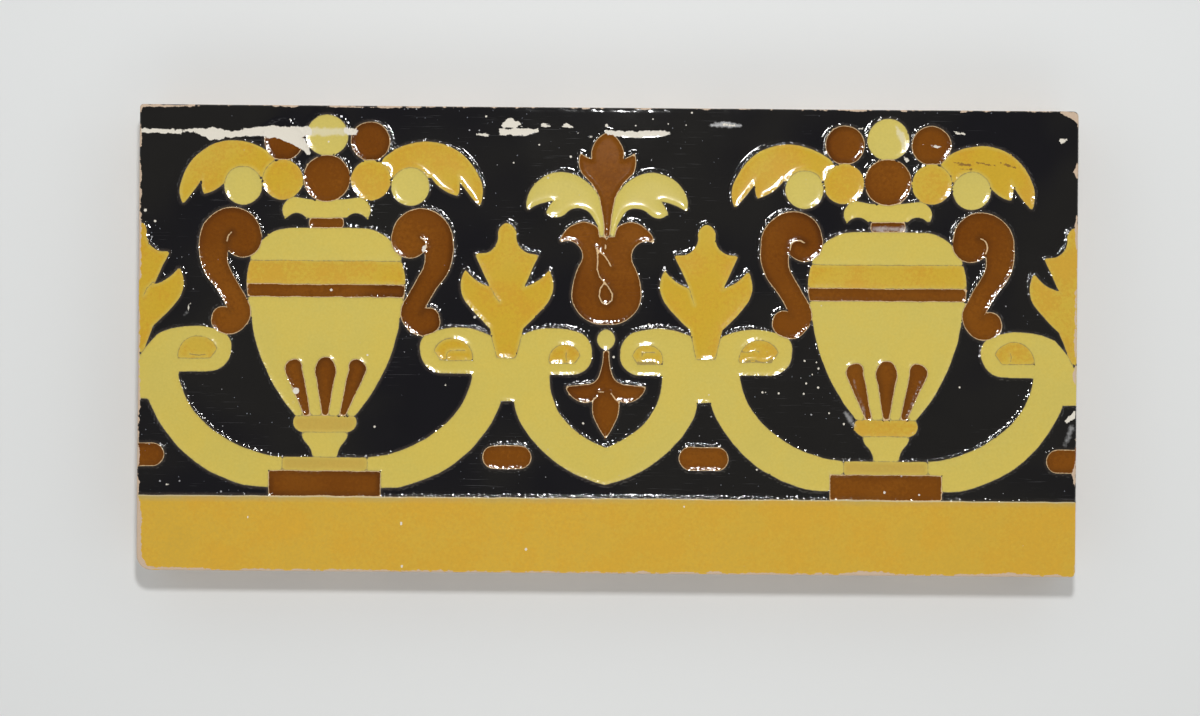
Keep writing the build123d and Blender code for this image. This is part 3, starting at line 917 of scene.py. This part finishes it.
def add_sides(shell, ring, upper, lower, rim_glazes):
    """Rows of points from the face's edge down to the back's, and the last row's numbers.

    A row at depth d lies a share (d / thickness)^2 of the way from the one edge to the other,
    and waves a little.
    """
    steps = np.arange(len(upper)) / EDGE_RATIO
    closed = np.concatenate((lower, lower[:1]))
    base_edge = np.stack([
        np.interp(steps, np.arange(len(closed)), closed[:, k]) for k in range(2)], axis=1)
    for inset, down, every in SIDE_PROFILE:
        share = (down * MM / TOP) ** 2
        flat = upper[::every, :2] * (HALF / (HALF - ARRIS * MM))
        base = base_edge[::every] * (HALF / (HALF - BACK_ARRIS * MM))
        place = flat * (1 - share) + base * share
        depth = np.full(len(place), down * MM)
        wave = 1 + ripple(place[:, 0] + place[:, 1], depth, 6 * MM, 61)
        wave *= SIDE_WAVE * MM * min(1, down / 2)
        place *= (HALF - inset * MM - wave[:, None]) / HALF
        glazed = down < GLAZED_SIDE
        start = upper[::every, 2] if glazed else TOP
        numbers = shell.count + np.arange(len(place))
        kinds = rim_glazes[::every]
        kinds = np.concatenate((kinds, kinds)) if glazed else MATERIALS.index("Bare clay")
        width = rim_field(upper[::every, 0], upper[::every, 1]) / MM
        shell.add(np.column_stack((place, start - depth)), strip(ring, numbers), kinds,
                  {"bare": width - inset + 2 * down})
        ring = numbers
    return ring


def tile_mesh(sizes):
    """The whole tile as one closed mesh: points, triangles, materials, marks, face's normals."""
    relief = Relief(sizes)
    edge = HALF - ARRIS * MM
    split = BAND_TOP * MM - HALF[1]
    rows = FINE_ROWS + BAND_ROWS
    x = np.linspace(-edge[0], edge[0], COLUMNS + 1)
    y = np.concatenate((np.linspace(-edge[1], split, BAND_ROWS + 1)[:-1],
                        np.linspace(split, edge[1], FINE_ROWS + 1)))
    grid, held, across, crest, chips_and_glints = face_grid(relief, x, y)
    height = relief.read(relief.height, grid[..., 0], grid[..., 1])
    front = np.concatenate((grid, (TOP + height)[..., None]), axis=-1).reshape(-1, 3)
    triangles = split_quads(grid, held)
    normals = corner_normals(relief, grid, triangles, held, across)
    middle = front[triangles].mean(axis=1)
    bare = np.maximum(mark_field(x, y, BARE_CLAY), rim_field(grid[..., 0], grid[..., 1]))
    marks = {"crest": crest, "loss": mark_field(x, y, LOST_GLAZE_AND_GLINTS), "haze": mark_field(x, y, HAZE),
             "scrape": mark_field(x, y, SCRAPES), "spill": mark_field(x, y, SPILLS),
             "chip": chips_and_glints, "bare": bare}
    shell = Shell()
    shell.add(front, triangles, relief.glaze_at(middle[:, 0], middle[:, 1]),
              {name: field.reshape(-1) / MM for name, field in marks.items()})

    back_columns, back_rows = COLUMNS // EDGE_RATIO, rows // EDGE_RATIO
    back, back_held = back_face(sizes, back_columns, back_rows)
    back_triangles = split_quads(back, back_held)[:, ::-1]
    back = back.reshape(-1, 3)
    ring, back_ring = border(rows + 1, COLUMNS + 1), border(back_rows + 1, back_columns + 1)
    upper = front[ring]
    last = add_sides(shell, ring, upper, back[back_ring], relief.glaze_at(upper[:, 0], upper[:, 1]))
    under = np.concatenate((strip(last, shell.count + back_ring), back_triangles + shell.count))
    shell.add(back, under, MATERIALS.index("Bare clay"), {"bare": CREST_FAR})
    return *shell.whole(), normals


def add_mesh(name, points, triangles):
    """New object at the origin with these points and triangles."""
    mesh = bpy.data.meshes.new(name)
    mesh.vertices.add(len(points))
    mesh.vertices.foreach_set("co", points.astype(np.float32).reshape(-1))
    mesh.loops.add(triangles.size)
    mesh.loops.foreach_set("vertex_index", triangles.astype(np.int32).reshape(-1))
    mesh.polygons.add(len(triangles))
    mesh.polygons.foreach_set("loop_start", np.arange(0, triangles.size, 3, dtype=np.int32))
    mesh.update(calc_edges=True)
    thing = bpy.data.objects.new(name, mesh)
    bpy.context.scene.collection.objects.link(thing)
    return thing


def give(socket, value):
    """Link an input to a socket, or set its value."""
    if isinstance(value, bpy.types.NodeSocket):
        socket.id_data.links.new(value, socket)
    else:
        socket.default_value = value


def add(tree, kind, inputs, **settings):
    """New node with its settings and inputs. An input is a value or a socket to link."""
    made = tree.nodes.new(kind)
    for key, value in settings.items():
        setattr(made, key, value)
    for key, value in inputs.items():
        give(made.inputs[key], value)
    return made


def maths(operation, first, second, clamp=False):
    """Result of a Math node on two values, of which at least one is a socket."""
    socket = first if isinstance(first, bpy.types.NodeSocket) else second
    return add(socket.id_data, "ShaderNodeMath", {0: first, 1: second},
               operation=operation, use_clamp=clamp).outputs[0]


def plus(first, second):
    """Sum of two values."""
    return maths("ADD", first, second)


def minus(first, second):
    """First value less the second."""
    return maths("SUBTRACT", first, second)


def times(first, second):
    """Product of two values."""
    return maths("MULTIPLY", first, second)


def less_than(first, second):
    """1 where the first is below the second, and 0 elsewhere."""
    return maths("LESS_THAN", first, second)


def blend(share, first, second):
    """Colour a share of the way from the first to the second."""
    return add(share.id_data, "ShaderNodeMix", {0: share, 6: first, 7: second},
               data_type="RGBA").outputs[2]


def blend_values(share, first, second):
    """Value a share of the way from the first to the second."""
    return add(share.id_data, "ShaderNodeMix", {0: share, 2: first, 3: second},
               data_type="FLOAT").outputs[0]


def step_between(value, low, high, start=0.0, end=1.0):
    """Start where a value is below low, end above high and smooth between.

    Where low is above high, it is turned round.
    """
    return add(value.id_data, "ShaderNodeMapRange", {
        "Value": value, "From Min": low, "From Max": high, "To Min": start, "To Max": end},
        interpolation_type="SMOOTHSTEP").outputs["Result"]


def noise(place, size, detail=2.0, rough=0.5):
    """Noise about 0.5 whose patches are about the given size, in millimetres."""
    return add(place.id_data, "ShaderNodeTexNoise", {
        "Vector": place, "Scale": 1000 / size, "Detail": detail, "Roughness": rough}).outputs["Fac"]


def dots(place, per_metre):
    """Scattered dots: the distance to the nearest one, and three random values of its own."""
    made = add(place.id_data, "ShaderNodeTexVoronoi", {"Vector": place, "Scale": per_metre})
    chance = add(place.id_data, "ShaderNodeSeparateColor", {"Color": made.outputs["Color"]})
    return made.outputs["Distance"], chance.outputs


def object_place(tree):
    """Place on the object."""
    return tree.nodes.new("ShaderNodeTexCoord").outputs["Object"]


def mark_value(tree, name):
    """Value of one of the tile's own marks, in millimetres."""
    return add(tree, "ShaderNodeAttribute", {}, attribute_name=name).outputs["Fac"]


def new_group(name, colours, values, results):
    """Shader group with nothing in it: its tree, what it is given and what it puts out."""
    tree = bpy.data.node_groups.new(name, "ShaderNodeTree")
    sockets = [(label, "INPUT", label in colours) for label in (*colours, *values)]
    sockets += [(label, "OUTPUT", label == "Colour") for label in results]
    for label, way, coloured in sockets:
        kind = "NodeSocketColor" if coloured else "NodeSocketFloat"
        tree.interface.new_socket(label, in_out=way, socket_type=kind)
    return tree, tree.nodes.new("NodeGroupInput").outputs, tree.nodes.new("NodeGroupOutput").inputs


def add_group(tree, group, values):
    """Outputs of a group placed in a tree, each of its inputs with the value of its name."""
    made = tree.nodes.new("ShaderNodeGroup")
    made.node_tree = group
    for socket in made.inputs:
        give(socket, values[socket.name])
    return made.outputs


def glaze_group():
    """Colour of a pool of glaze: thin beside the crests, with a line on them, clouded all over."""
    tree, given, out = new_group(
        "Pool of glaze",
        ("Glaze", "Thin glaze", "Line", "Mottle colour", "Drift colour"),
        ("Thin reach", "Line width", "Clouding", "Mottle", "Drift"), ("Colour",))
    place = object_place(tree)
    fine, cloud, speck = noise(place, 0.7, 3), noise(place, 11, 3), noise(place, 1.1, 5, 0.7)
    crest = plus(mark_value(tree, "crest"), times(minus(fine, 0.5), 0.45))
    thin = step_between(crest, given["Thin reach"], 0)
    blur = 0.07
    line = step_between(crest, plus(given["Line width"], blur), minus(given["Line width"], blur))
    drift = step_between(noise(place, 42), 0.38, 0.62)
    patches = step_between(plus(times(speck, 0.55), times(cloud, 0.65)), 0.52, 0.70)
    colour = blend(thin, given["Glaze"], given["Thin glaze"])
    colour = blend(times(drift, given["Drift"]), colour, given["Drift colour"])
    colour = blend(times(patches, given["Mottle"]), colour, given["Mottle colour"])
    colour = blend(line, colour, given["Line"])
    swing = plus(times(minus(cloud, 0.5), given["Clouding"]), times(minus(fine, 0.5), 0.16))
    shade = add(tree, "ShaderNodeHueSaturation", {"Value": plus(swing, 1), "Color": colour})
    give(out["Colour"], shade.outputs[0])
    return tree


def wear_group():
    """Age of the face: spills, haze, scrapes, scratches, specks, lost glaze (which also holds a few
    painted highlights) and bare clay.

    They are laid over a glaze in that order, and the last two and the haze are dull.
    """
    tree, given, out = new_group(
        "Wear of the face", ("Colour", "Black", "Lost", "Clay"),
        ("Roughness", "Specks", "Scratches"), ("Colour", "Roughness"))
    place = object_place(tree)
    ragged = minus(noise(place, 1.8, 6, 0.7), 0.5)
    grain = noise(place, 0.4, 4, 0.7)
    crowd = noise(place, 26)

    def worn(name, wander, low, high):
        """One kind of mark, whose edge wanders."""
        return step_between(plus(mark_value(tree, name), times(ragged, wander)), low, high)

    haze = worn("haze", 2.4, -0.3, 0.9)
    # Lost glaze and chips; a few of them are painted highlights, glints of the lamp shown as whitish
    # slip
    lost = maths("MAXIMUM", worn("loss", 2.2, -0.06, 0.06), worn("chip", 0.5, -0.08, 0.08))
    bare = worn("bare", 1.9, -0.05, 0.05)

    often = times(given["Specks"], step_between(crowd, 0.40, 0.60))
    apart, chance = dots(place, 330)
    radius = plus(times(chance["Green"], 0.08), 0.03)
    speck = times(less_than(apart, radius), less_than(chance["Red"], often))
    apart, chance = dots(place, 800)
    mote = times(less_than(apart, times(chance["Green"], 0.16)), less_than(chance["Red"], often))

    drawn = add(tree, "ShaderNodeMapping", {
        "Vector": place, "Scale": (0.02, 1, 1), "Rotation": (0, 0, 0.02)}).outputs[0]
    scratch = step_between(noise(drawn, 0.22), 0.66, 0.74)
    scratch = times(times(scratch, step_between(crowd, 0.48, 0.62)), given["Scratches"])

    colour = given["Colour"]
    for share, tint in (
        (worn("spill", 0.8, 0, 0.1), given["Black"]),
        (times(haze, 0.36), (0.66, 0.66, 0.66, 1)),
        (times(worn("scrape", 1.8, 0, 0.12), 0.75), (0.16, 0.07, 0.03, 1)),
        (times(scratch, 0.12), (0.45, 0.45, 0.47, 1)),
        (times(mote, 0.35), (0.42, 0.45, 0.52, 1)),
        (times(speck, 0.45), (0.6, 0.6, 0.62, 1)),
        # Lost glaze, and the painted highlights laid as it, in whitish slip
        (lost, blend(times(grain, 0.3), given["Lost"], (0.42, 0.38, 0.33, 1))),
        (bare, blend(times(grain, 0.5), given["Clay"], (0.36, 0.25, 0.17, 1))),
    ):
        colour = blend(share, colour, tint)
    give(out["Colour"], colour)

    dull = maths("MAXIMUM", lost, bare)
    dull = maths("MAXIMUM", dull, times(plus(haze, speck), 0.5), clamp=True)
    gloss = plus(given["Roughness"], times(minus(grain, 0.5), 0.03))
    give(out["Roughness"], blend_values(dull, gloss, 0.85))
    return tree


def peel_group():
    """Height of the glaze's skin in metres: a soft orange peel, finer lumps and a few pinholes.

    Beads of glaze lie along the crests.
    """
    tree, given, out = new_group(
        "Skin of the glaze", (), ("Peel", "Grain", "Beads", "Pinholes"), ("Height",))
    place = object_place(tree)
    fine = times(noise(place, 0.55, 2, 0.6), given["Grain"])
    peel = times(plus(times(noise(place, 2.6, 1), 0.006), fine), given["Peel"])
    near_crest = step_between(mark_value(tree, "crest"), 1.5, 0.5)
    beads = times(times(noise(place, 0.8, 0), given["Beads"]), near_crest)
    apart, chance = dots(place, 420)
    hole = times(step_between(apart, 0.1, 0), less_than(chance["Blue"], given["Pinholes"]))
    give(out["Height"], times(minus(plus(peel, beads), times(hole, 0.012)), MM))
    return tree


def clay_group():
    """Fired clay: sandy grain, soft smudges, and its pits as a height in metres."""
    tree, given, out = new_group("Fired clay", ("Clay", "Dark"), (), ("Colour", "Height"))
    place = object_place(tree)
    grain, smudge = noise(place, 0.45, 5, 0.75), noise(place, 24, 4, 0.6)
    pits = add(tree, "ShaderNodeTexVoronoi", {"Vector": place, "Scale": 380})
    pit = step_between(pits.outputs["Distance"], 0.22, 0.08)
    colour = blend(step_between(smudge, 0.42, 0.75), given["Clay"], given["Dark"])
    colour = blend(times(step_between(grain, 0.45, 0.8), 0.45), colour, given["Dark"])
    give(out["Colour"], blend(times(pit, 0.35), colour, given["Dark"]))
    give(out["Height"], minus(times(grain, 0.08 * MM), times(pit, 0.04 * MM)))
    return tree


def mixed(first, second, share):
    """Colour part of the way from one to another."""
    return tuple(a + (b - a) * share for a, b in zip(first, second))


def new_material(name):
    """New material and its shader."""
    material = bpy.data.materials.new(name)
    material.use_nodes = True
    return material, material.node_tree.nodes["Principled BSDF"]


def finish(shader, colour, roughness, height):
    """Give a shader its colour, its roughness and the bumps of a height in metres."""
    bump = add(shader.id_data, "ShaderNodeBump", {"Strength": 1, "Distance": 1, "Height": height})
    give(shader.inputs["Base Color"], colour)
    give(shader.inputs["Roughness"], roughness)
    give(shader.inputs["Normal"], bump.outputs["Normal"])


def glaze_material(name, groups, colours, recipe):
    """Glossy glaze: its pool colours it, its wear ages it and its skin makes it uneven."""
    material, shader = new_material(name)
    values = {**COMMON_GLAZE, **recipe, "Black": tuple(colours.black),
              "Lost": tuple(colours.loss), "Clay": tuple(colours.clay)}
    values["Colour"] = add_group(material.node_tree, groups["pool"], values)["Colour"]
    wear = add_group(material.node_tree, groups["wear"], values)
    skin = add_group(material.node_tree, groups["skin"], values)
    finish(shader, wear["Colour"], wear["Roughness"], skin["Height"])
    return material


def clay_material(name, groups, colours):
    """Unglazed fired clay."""
    material, shader = new_material(name)
    clay = tuple(colours.clay)
    values = {"Clay": clay, "Dark": mixed(clay, (0.20, 0.12, 0.08, 1), 0.5)}
    body = add_group(material.node_tree, groups["clay"], values)
    finish(shader, body["Colour"], 0.9, body["Height"])
    return material


def glaze_recipes(colours):
    """Colours and strengths of each glaze, by the names of the groups' inputs."""
    black, straw, pale, ochre, brown, honey, band, crest = (
        tuple(getattr(colours, name)) for name in (
            "black", "straw", "pale", "ochre", "brown", "honey", "band", "crest"))
    olive = (0.25, 0.21, 0.10, 1)
    rust = (0.50, 0.20, 0.02, 1)
    deep = (0.05, 0.012, 0.0, 1)
    margin = (0.48, 0.365, 0.125, 1)
    return {
        "Black glaze": {
            "Glaze": black, "Thin glaze": mixed(black, (0.05, 0.038, 0.03, 1), 0.8),
            "Line": (0.06, 0.05, 0.045, 1), "Thin reach": 1.1, "Line width": 0.12,
            "Clouding": 0.3, "Mottle": 0, "Mottle colour": black, "Drift": 0.7,
            "Drift colour": (0.013, 0.012, 0.010, 1), "Roughness": 0.05, "Specks": 0.32,
            "Scratches": 0.8, "Peel": 1, "Grain": 0.004, "Beads": 0.23,
        },
        "Straw glaze": {
            "Glaze": straw, "Thin glaze": mixed(straw, olive, 0.22),
            "Line": mixed(straw, olive, 0.75), "Thin reach": 0.7, "Clouding": 0.14,
            "Mottle colour": mixed(straw, ochre, 0.5), "Drift": 0.5,
            "Drift colour": mixed(straw, pale, 0.8),
        },
        "Pale glaze": {
            "Glaze": pale, "Thin glaze": mixed(pale, olive, 0.2),
            "Line": mixed(pale, olive, 0.7), "Thin reach": 0.6, "Clouding": 0.14,
            "Mottle colour": straw, "Drift colour": pale, "Peel": 0.9,
        },
        "Ochre glaze": {
            "Glaze": ochre, "Thin glaze": mixed(ochre, straw, 0.6),
            "Line": mixed(ochre, olive, 0.7), "Thin reach": 1.3, "Clouding": 0.2,
            "Mottle": 0.42, "Mottle colour": mixed(ochre, rust, 0.8), "Drift": 0.6,
            "Drift colour": mixed(ochre, straw, 0.5), "Beads": 0.04,
        },
        "Brown glaze": {
            "Glaze": brown, "Thin glaze": mixed(brown, deep, 0.8), "Line": crest,
            "Thin reach": 3.2, "Line width": 0.17, "Clouding": 0.5, "Mottle": 0.5,
            "Mottle colour": mixed(brown, deep, 0.55), "Drift": 0.5,
            "Drift colour": mixed(brown, rust, 0.28), "Roughness": 0.09, "Specks": 0.04,
            "Peel": 1, "Beads": 0.1,
        },
        "Honey glaze": {
            "Glaze": honey, "Thin glaze": mixed(honey, straw, 0.6),
            "Line": mixed(honey, olive, 0.6), "Thin reach": 1.3, "Clouding": 0.18,
            "Mottle": 0.25, "Mottle colour": mixed(honey, rust, 0.3), "Drift colour": honey,
            "Beads": 0.014,
        },
        "Band glaze": {
            "Glaze": band, "Thin glaze": margin, "Line": mixed(margin, (0.8, 0.75, 0.6, 1), 0.3),
            "Thin reach": 3, "Line width": 0.3, "Clouding": 0.18, "Mottle": 0.3,
            "Mottle colour": mixed(band, rust, 0.6), "Drift": 0.6,
            "Drift colour": mixed(band, honey, 0.5), "Specks": 0.02, "Peel": 0.7,
            "Grain": 0.006, "Beads": 0.02,
        },
    }


def tile_materials(colours):
    """The tile's materials, in the order of their numbers."""
    groups = {"pool": glaze_group(), "wear": wear_group(), "skin": peel_group(), "clay": clay_group()}
    recipes = glaze_recipes(colours)
    made = [glaze_material(name, groups, colours, recipes[name]) for name in GLAZES]
    return [*made, clay_material("Bare clay", groups, colours)]


class TILE_OT_fired_tile(bpy.types.Operator):
    """Add the fired tile: glazed face, worn edges, clay sides and keyed back"""

    bl_idname = "tile.fired_tile"
    bl_label = "Fired tile"

    def execute(self, context):
        scene = context.scene
        points, triangles, materials, values, normals = tile_mesh(scene.tile_sizes)
        tile = add_mesh("fired_tile", points, triangles)
        mesh = tile.data
        for material in tile_materials(scene.tile_colours):
            mesh.materials.append(material)
        mesh.polygons.foreach_set("material_index", materials.astype(np.int32))
        mesh.polygons.foreach_set("use_smooth", np.ones(len(triangles), bool))
        for name, field in values.items():
            layer = mesh.attributes.new(name, "FLOAT", "POINT")
            layer.data.foreach_set("value", field.astype(np.float32))
        mesh.update()
        facing = np.empty(len(points) * 3, np.float32)
        mesh.vertices.foreach_get("normal", facing)
        facing = facing.reshape(-1, 3)[triangles]
        facing[:len(normals)] = normals
        mesh.normals_split_custom_set(facing.reshape(-1, 3))
        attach(tile, "root")
        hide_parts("tile")
        return {"FINISHED"}


def add_panel_lamp(name, place, target, size, level, colour=(1, 1, 1)):
    """Area lamp that faces a point. Its power is pi times its area times the brightness of its face."""
    lamp = bpy.data.lights.new(name, "AREA")
    lamp.shape = "RECTANGLE"
    lamp.size, lamp.size_y = size
    lamp.energy = math.pi * size[0] * size[1] * level
    lamp.color = colour
    thing = bpy.data.objects.new(name, lamp)
    bpy.context.scene.collection.objects.link(thing)
    thing.location = place
    thing.rotation_euler = (Vector(target) - Vector(place)).to_track_quat("-Z", "Y").to_euler()


def floor_disc():
    """Points and triangles of the floor: rings (r cos a, r sin a, 0) about one middle point."""
    angle = np.linspace(0, 2 * math.pi, FLOOR_CORNERS, endpoint=False)
    radius = np.array(FLOOR_RINGS)[:, None]
    rings = np.stack((radius * np.cos(angle), radius * np.sin(angle), 0 * radius * angle), axis=-1)
    number = 1 + np.arange(rings.size // 3).reshape(len(radius), -1)
    inmost = np.stack((0 * number[0], number[0], np.roll(number[0], -1)), axis=1)
    outer = [strip(far, near)[:, ::-1] for near, far in zip(number, number[1:])]
    points = np.concatenate((np.zeros((1, 3)), rings.reshape(-1, 3)))
    return points, np.concatenate((inmost, *outer))


def add_floor(colour):
    """Plain floor under the tile."""
    floor = add_mesh("floor", *floor_disc())
    material, shader = new_material("Pale floor")
    give(shader.inputs["Base Color"], colour)
    give(shader.inputs["Roughness"], 0.9)
    floor.data.materials.append(material)


def add_camera(scene, distance, width, roll):
    """Camera straight above the face, whose picture is so wide at that distance."""
    camera = bpy.data.cameras.new("camera")
    camera.sensor_width = SENSOR_WIDTH
    camera.sensor_fit = "HORIZONTAL"
    camera.lens = SENSOR_WIDTH * distance / width
    camera.clip_start, camera.clip_end = 0.01, 50
    view = bpy.data.objects.new("camera", camera)
    scene.collection.objects.link(view)
    view.location = Vector(AIM) + Vector((0, 0, distance))
    view.rotation_euler = (0, 0, roll)
    scene.camera = view


def add_room(scene, wall_level, ceiling_level):
    """Light of the room: its walls up to a height, then its ceiling. The camera sees it plain."""
    world = bpy.data.worlds.new("room")
    scene.world = world
    world.use_nodes = True
    tree = world.node_tree
    background = tree.nodes["Background"]
    place = tree.nodes.new("ShaderNodeTexCoord").outputs["Generated"]
    height = add(tree, "ShaderNodeSeparateXYZ", {0: place}).outputs["Z"]
    shade = step_between(height, WALL_TOP, CEILING_EDGE, wall_level, ceiling_level)
    seen = tree.nodes.new("ShaderNodeLightPath").outputs["Is Camera Ray"]
    give(background.inputs["Strength"], blend_values(seen, shade, ROOM_SEEN))
    give(background.inputs["Color"], (1, 1, 1, 1))


class TILE_OT_stage(bpy.types.Operator):
    """Add the floor, the camera, the lamps and the room's light"""

    bl_idname = "tile.stage"
    bl_label = "Stage"

    def execute(self, context):
        scene = context.scene
        stage, colours = scene.tile_stage, scene.tile_colours
        add_floor(tuple(colours.floor))
        add_camera(scene, stage.distance, stage.view_width, stage.roll)
        add_panel_lamp("key lamp", KEY_PLACE, KEY_AIM, KEY_SIZE, stage.key_level)
        add_panel_lamp("fill lamp", FILL_PLACE, FILL_AIM, FILL_SIZE, stage.fill_level, FILL_COLOUR)
        add_room(scene, stage.wall_level, stage.ceiling_level)
        scene.view_settings.view_transform = "Standard"
        return {"FINISHED"}


class TILE_PT_panel(bpy.types.Panel):
    """Sizes and colours of the tile, and the buttons that add its parts"""

    bl_idname = "TILE_PT_panel"
    bl_label = "Relief wall tile"
    bl_space_type = "VIEW_3D"
    bl_region_type = "UI"
    bl_category = "Tile"

    def draw(self, context):
        scene = context.scene
        for group in (scene.tile_sizes, scene.tile_colours, scene.tile_stage):
            box = self.layout.box()
            for name in group.bl_rna.properties.keys():
                if name not in ("rna_type", "name"):
                    box.prop(group, name)
        for operator in OPERATORS:
            self.layout.operator(operator.bl_idname)


OPERATORS = (TILE_OT_fired_tile, TILE_OT_stage)
CLASSES = (TileSizes, TileColours, StageSettings, *OPERATORS, TILE_PT_panel)


def register():
    for cls in CLASSES:
        bpy.utils.register_class(cls)
    bpy.types.Scene.tile_sizes = bpy.props.PointerProperty(type=TileSizes)
    bpy.types.Scene.tile_colours = bpy.props.PointerProperty(type=TileColours)
    bpy.types.Scene.tile_stage = bpy.props.PointerProperty(type=StageSettings)


def unregister():
    del bpy.types.Scene.tile_stage
    del bpy.types.Scene.tile_colours
    del bpy.types.Scene.tile_sizes
    for cls in reversed(CLASSES):
        bpy.utils.unregister_class(cls)


def main():
    register()
    bpy.ops.tile.stage()
    bpy.ops.tile.fired_tile()


if __name__ == "__main__":
    main()
